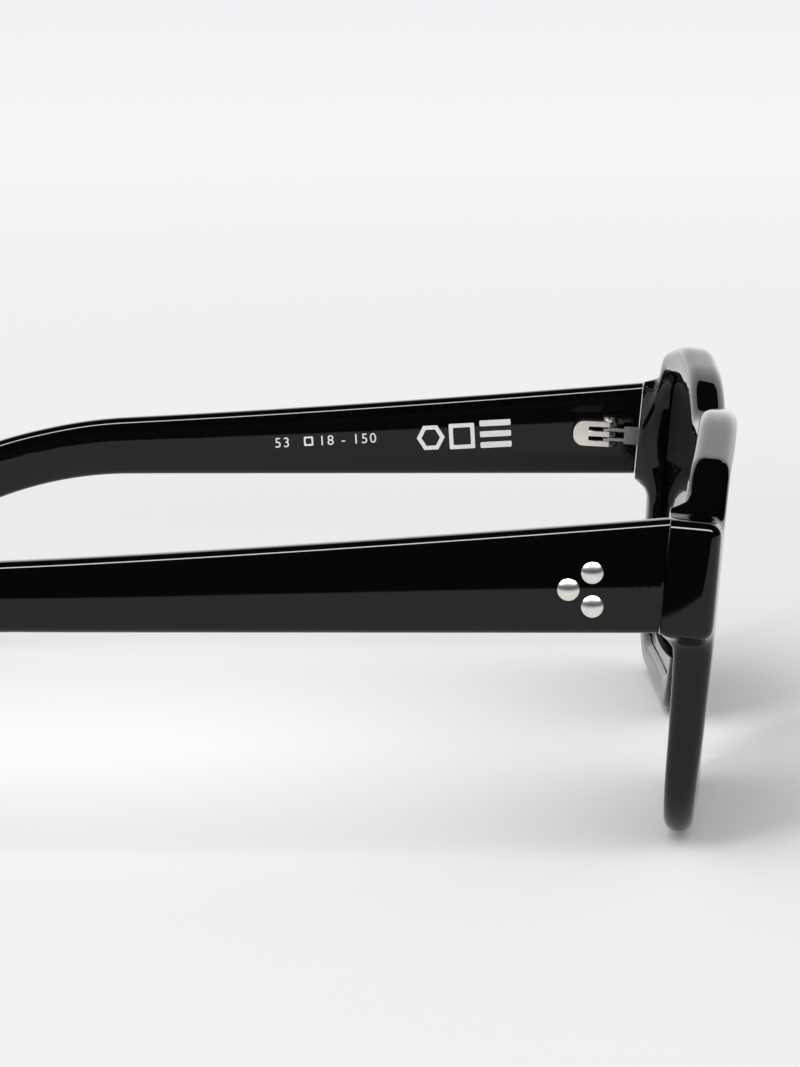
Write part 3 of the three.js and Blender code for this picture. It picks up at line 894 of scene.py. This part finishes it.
class SUNGLASSES_OT_studs(bpy.types.Operator):
    """Domed metal studs outside the temples, three on each"""

    bl_idname = "sunglasses.studs"
    bl_label = "Studs"

    def execute(self, context):
        material = shared_material("Satin nickel", metal_material, "Satin nickel", (0.74, 0.71, 0.67), 0.27)
        head, rise, stem = 1.4, 0.5, 1.0
        dome = (head * head + rise * rise) / (2 * rise)
        for name, side in SIDES.items():
            for spot in ("upper", "lower", "rear"):
                node = f"temple_stud_{spot}_{name}"
                low, high = (Vector(corner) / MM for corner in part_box(node))
                centre = (low + high) / 2
                outside = max(abs(low.x), abs(high.x))
                ball = bpy.ops.mesh.primitive_uv_sphere_add
                piece = added(f"stud_{spot}_{name}", ball, segments=48, ring_count=48, radius=dome)
                piece.data.transform(Matrix.Translation((0, 0, rise - dome)))
                cut_plane(piece, (0, 0, 0), (0, 0, -1))
                choose_faces(piece, lambda face: face.normal.z < -0.99)
                bpy.ops.mesh.inset(thickness=0.05)
                bpy.ops.mesh.extrude_region_move(TRANSFORM_OT_translate={"value": (0, 0, -0.12)})
                bpy.ops.mesh.inset(thickness=head - 0.65)
                bpy.ops.mesh.extrude_region_move(TRANSFORM_OT_translate={"value": (0, 0, -stem)})
                done()
                polished(piece)
                turn = Matrix.Rotation(math.pi / 2, 4, "Y")
                seat = Matrix.Translation((outside - rise, centre.y, centre.z))
                settle(piece, Matrix.Diagonal((side, 1, 1, 1)) @ Matrix.Scale(MM, 4) @ seat @ turn)
                finished(piece, BODY[name], "stud", material, node)
        return {"FINISHED"}


# ---------------------------------------- hinges


def softened(context, name, node, width, material, slot, body):
    """A clean copy of a machined node with fine bright edges."""
    piece = frame["nodes"][node].copy()
    piece.data = piece.data.copy()
    piece.name = name
    piece.parent = None
    piece.hide_render = False
    context.collection.objects.link(piece)
    edit(piece)
    bpy.ops.mesh.customdata_custom_splitnormals_clear()
    bpy.ops.mesh.remove_doubles(threshold=0.000002)
    bpy.ops.mesh.dissolve_limited(angle_limit=math.radians(0.5))
    done()
    modified(piece, "BEVEL", width=width * MM, segments=2, limit_method="ANGLE",
             angle_limit=math.radians(40), use_clamp_overlap=True)
    polished(piece, 35, weighted=True)
    return finished(piece, body, slot, material, node)


class SUNGLASSES_OT_hinges(bpy.types.Operator):
    """Hinge leaves, screws and the cores inside the temples"""

    bl_idname = "sunglasses.hinges"
    bl_label = "Hinges"

    def execute(self, context):
        width = sizes(context, "hinge").edge_width
        metal = hinge_metal(context)
        # The front leaves' dark base colour is painted shade on polished hinge steel, a shaded copy of the
        # hinge metal.
        dark = shared_material("Dark steel", metal_material, "Dark steel", (0.3, 0.29, 0.28), 0.14)
        steel = shared_material("Turned steel", metal_material, "Turned steel", (0.72, 0.69, 0.65), 0.24)
        wire = shared_material("Drawn wire", metal_material, "Drawn wire", (0.55, 0.55, 0.56), 0.34)
        for name in SIDES:
            body = BODY[name]
            softened(context, f"front_leaf_{name}", f"hinge_front_leaf_{name}", width, dark, "hinge", "front")
            softened(context, f"temple_leaf_{name}", f"hinge_temple_leaf_{name}", width, metal, "hinge", body)
            softened(context, f"hinge_pin_screw_{name}", f"hinge_screw_{name}", 0.04, steel, "screw", body)
            core = frame["nodes"][f"temple_core_{name}"]
            core.data.materials.clear()
            core.data.materials.append(wire)
        return {"FINISHED"}


# ---------------------------------------- printed marks


def text_piece(name, body, size):
    """Thin raised print, as a mesh."""
    piece = added(name, bpy.ops.object.text_add)
    piece.data.body = body
    piece.data.size = size
    piece.data.space_character = 1.22
    piece.data.extrude = PRINT_THICKNESS / 2
    bpy.ops.object.convert(target="MESH")
    return bpy.context.view_layer.objects.active


def shape_piece(name, *outlines):
    """A plain printed shape."""
    return filled_curve(name, outlines, PRINT_THICKNESS, 0, 0)


def ring_outline(sides, radius):
    turns = [math.tau * step / sides for step in range(sides)]
    return [Vector((math.cos(turn), math.sin(turn))) * radius for turn in turns]


def square_outline(half):
    return bar_outline(-half, half, -half, half)


def bar_outline(left, right, low, high):
    return rounded([(left, low, 0.2), (right, low, 0.2), (right, high, 0.2), (left, high, 0.2)], 0.3)


class SUNGLASSES_OT_marks(bpy.types.Operator):
    """Generic size numbers and plain shapes printed inside the left temple"""

    bl_idname = "sunglasses.marks"
    bl_label = "Printed marks"

    def execute(self, context):
        path = TemplePath(context)
        ink = shared_material("Pad printing ink", print_material,
                              tuple(context.scene.sunglasses.temple.print_colour))
        slope = math.radians(2.9)
        numbers = text_piece("printed_size", "53     18 - 150", 2.25)
        box = shape_piece("box", bar_outline(0, 1.5, 0, 1.5), bar_outline(0.28, 1.22, 0.28, 1.22))
        box.data.transform(Matrix.Translation((4.75, 0.02, 0)))
        six = shape_piece("six", ring_outline(6, 2.25), ring_outline(6, 1.5))
        rows = shape_piece("rows", *(bar_outline(0, 5, row, row + 0.95) for row in (-2.2, -0.45, 1.3)))
        square = shape_piece("square", square_outline(2.05), square_outline(1.4))
        places = (  # piece, distance behind the joint, height from the temple top
            (numbers, 59.2, -10.2), (box, 59.2, -10.2),
            (six, 34.1, -8.6), (square, 29.1, -8.35), (rows, 26.2, -8.1),
        )
        grid, sunk = 0.6, 0.012
        for piece, back, rise in places:
            piece.data.transform(Matrix.Rotation(slope, 4, "Z"))

            def onto(co):
                y, z = back - co.x, rise + co.y
                return Vector((path.surface(y, z, False) - sunk + co.z, y, z))

            gridded(piece, grid)
            reshape(piece, onto)
            settle(piece, temple_place(context))
            edit(piece)
            bpy.ops.mesh.normals_make_consistent(inside=False)
            done()
        only(numbers)
        for piece, _, _ in places[1:]:
            piece.select_set(True)
        bpy.ops.object.join()
        finished(numbers, "left_temple", "stud", ink)
        return {"FINISHED"}


# ---------------------------------------- stage


def stage_material(near, far):
    """Matte paper with painted light: a painted pool of light right under the object, painted shade around it
    that holds back the key light near the object, and a lighter colour in the distance.
    """
    # The ramp stops after the first are painted shade around the object, darkest at a tenth of the reach.
    reach, painted_light_stops = 1.4, ((0.1, 0.905), (0.25, 1.0))
    material, nodes, links, shader = blank_material("Matte paper")
    place = nodes.new("ShaderNodeTexCoord")
    distance = nodes.new("ShaderNodeVectorMath")
    distance.operation = "LENGTH"
    share = nodes.new("ShaderNodeMapRange")
    share.inputs["From Max"].default_value = reach
    fibre = nodes.new("ShaderNodeTexNoise")
    fibre.inputs["Scale"].default_value = 900
    painted_light_ramp = nodes.new("ShaderNodeValToRGB")
    painted_light_ramp.color_ramp.interpolation = "B_SPLINE"
    # Painted pool of light: the near colour raised by 1.23 right under the object, where its own shadows
    # fall.
    painted_light_ramp.color_ramp.elements[0].color = [*(channel * 1.23 for channel in near), 1]
    painted_light_ramp.color_ramp.elements[1].color = [*far, 1]
    for stop, tone in painted_light_stops:
        painted_light_ramp.color_ramp.elements.new(stop).color = [*(channel * tone for channel in near), 1]
    relief = nodes.new("ShaderNodeBump")
    relief.inputs["Strength"].default_value = 0.05
    relief.inputs["Distance"].default_value = 0.05 * MM
    links.new(place.outputs["Object"], distance.inputs[0])
    links.new(distance.outputs["Value"], share.inputs["Value"])
    links.new(share.outputs["Result"], painted_light_ramp.inputs["Fac"])
    links.new(painted_light_ramp.outputs["Color"], shader.inputs["Base Color"])
    links.new(place.outputs["Object"], fibre.inputs["Vector"])
    links.new(fibre.outputs["Fac"], relief.inputs["Height"])
    links.new(relief.outputs["Normal"], shader.inputs["Normal"])
    shader.inputs["Roughness"].default_value = 1.0
    shader.inputs["Specular IOR Level"].default_value = 0.0
    return material


def add_area(name, place, target, size, energy):
    """A soft light that reflections don't see."""
    light = bpy.data.lights.new(name, "AREA")
    light.shape = "RECTANGLE"
    light.size, light.size_y = size
    light.energy = energy
    lamp = bpy.data.objects.new(name, light)
    lamp.location = place
    lamp.rotation_euler = (Vector(target) - Vector(place)).to_track_quat("-Z", "Y").to_euler()
    lamp.visible_glossy = False
    bpy.context.collection.objects.link(lamp)
    return lamp


def card_material(name, brightness):
    """A studio card's surface: black, or lit by itself."""
    material, _, _, shader = blank_material(name)
    shader.inputs["Base Color"].default_value = (0, 0, 0, 1)
    shader.inputs["Specular IOR Level"].default_value = 0
    shader.inputs["Emission Color"].default_value = (1, 1, 1, 1)
    shader.inputs["Emission Strength"].default_value = brightness
    return material


def add_card(name, corners, material):
    """A studio card that only reflections see."""
    mesh = bpy.data.meshes.new(name)
    mesh.from_pydata(corners, [], [(0, 1, 2, 3)])
    mesh.materials.append(material)
    card = bpy.data.objects.new(name, mesh)
    bpy.context.collection.objects.link(card)
    card.visible_camera = False
    card.visible_diffuse = False
    card.visible_shadow = False
    card.visible_transmission = False
    return card


def beside(near, far, reach):
    """Corners of a card along Y, between two edges given by x and z."""
    return [(near[0], reach[0], near[1]), (near[0], reach[1], near[1]),
            (far[0], reach[1], far[1]), (far[0], reach[0], far[1])]


def facing(y, across, heights):
    """Corners of an upright card that faces the object along Y."""
    return [(across[0], y, heights[0]), (across[1], y, heights[0]),
            (across[1], y, heights[1]), (across[0], y, heights[1])]


class SUNGLASSES_OT_stage(bpy.types.Operator):
    """Pale floor, soft light, the cards that shape the reflections, and the camera"""

    bl_idname = "sunglasses.stage"
    bl_label = "Stage"

    def execute(self, context):
        settings = context.scene.sunglasses.stage
        floor = added("paper_floor", bpy.ops.mesh.primitive_plane_add, size=14, location=(0, 0, 0))
        floor.data.materials.append(stage_material(tuple(settings.shaded_near_floor), tuple(settings.far_floor)))
        black = card_material("Black card", 0)
        white = card_material("Bright wall", 1.25)
        strip = card_material("Bright strip", 26)
        add_card("low_card", beside((-0.15, 0.02), (-0.15, 0.11), (-0.9, 0.9)), black)
        add_card("side_card", beside((-0.62, 0.15), (-0.62, 0.68), (-4, 4)), black)
        add_card("ceiling_card", beside((-0.95, 1.85), (1.9, 1.85), (-5, 5)), black)
        add_card("front_card", facing(-1.0, (-0.5, 1.2), (0.02, 1.4)), black)
        add_card("wall_card", beside((2.2, 0.02), (2.2, 2.1), (-2.5, 2.5)), white)
        add_card("strip_card", beside((-0.60, 1.08), (-0.80, 0.96), (-1.2, 1.4)), strip)
        add_area("key", (-0.74, 0.42, 1.08), (0, 0, 0), (0.18, 1.3), 7.5)
        world = bpy.data.worlds.new("Studio")
        world.use_nodes = True
        world.node_tree.nodes["Background"].inputs["Color"].default_value = (0.985, 0.99, 1, 1)
        world.node_tree.nodes["Background"].inputs["Strength"].default_value = 1.16
        context.scene.world = world
        context.scene.view_settings.view_transform = "Standard"
        camera = bpy.data.cameras.new("camera")
        camera.lens = settings.focal
        camera.clip_start = 0.01
        viewer = bpy.data.objects.new("camera", camera)
        joint = front_place(context).translation
        viewer.location = (-0.555, joint.y + 0.016, 0.122)
        aim = Euler((math.pi / 2 - settings.pitch, 0, settings.yaw - math.pi / 2)).to_matrix()
        viewer.rotation_euler = (aim @ Matrix.Rotation(-settings.roll, 3, "Z")).to_euler()
        context.collection.objects.link(viewer)
        context.scene.camera = viewer
        return {"FINISHED"}


# ---------------------------------------- panel and registration


class SUNGLASSES_PT_panel(bpy.types.Panel):
    bl_label = "Sunglasses"
    bl_idname = "SUNGLASSES_PT_panel"
    bl_space_type = "VIEW_3D"
    bl_region_type = "UI"
    bl_category = "Sunglasses"

    def draw(self, context):
        for operator in OPERATORS:
            self.layout.operator(operator.bl_idname)
        settings = context.scene.sunglasses
        for name in ("front", "lens", "temple", "hinge", "stage"):
            box = self.layout.box()
            box.label(text=name.title())
            group = getattr(settings, name)
            for key in group.bl_rna.properties.keys():
                if key not in ("rna_type", "name"):
                    box.prop(group, key)


OPERATORS = (
    SUNGLASSES_OT_stage,
    SUNGLASSES_OT_front,
    SUNGLASSES_OT_lenses,
    SUNGLASSES_OT_nose_pads,
    SUNGLASSES_OT_temples,
    SUNGLASSES_OT_studs,
    SUNGLASSES_OT_hinges,
    SUNGLASSES_OT_marks,
)
CLASSES = (
    FrontSettings,
    LensSettings,
    TempleSettings,
    HingeSettings,
    StageSettings,
    SunglassesSettings,
    *OPERATORS,
    SUNGLASSES_PT_panel,
)


def register():
    for cls in CLASSES:
        bpy.utils.register_class(cls)
    bpy.types.Scene.sunglasses = PointerProperty(type=SunglassesSettings)


def unregister():
    del bpy.types.Scene.sunglasses
    for cls in reversed(CLASSES):
        bpy.utils.unregister_class(cls)


def main():
    register()
    for operator in OPERATORS:
        group, name = operator.bl_idname.split(".")
        getattr(getattr(bpy.ops, group), name)()


if __name__ == "__main__":
    main()
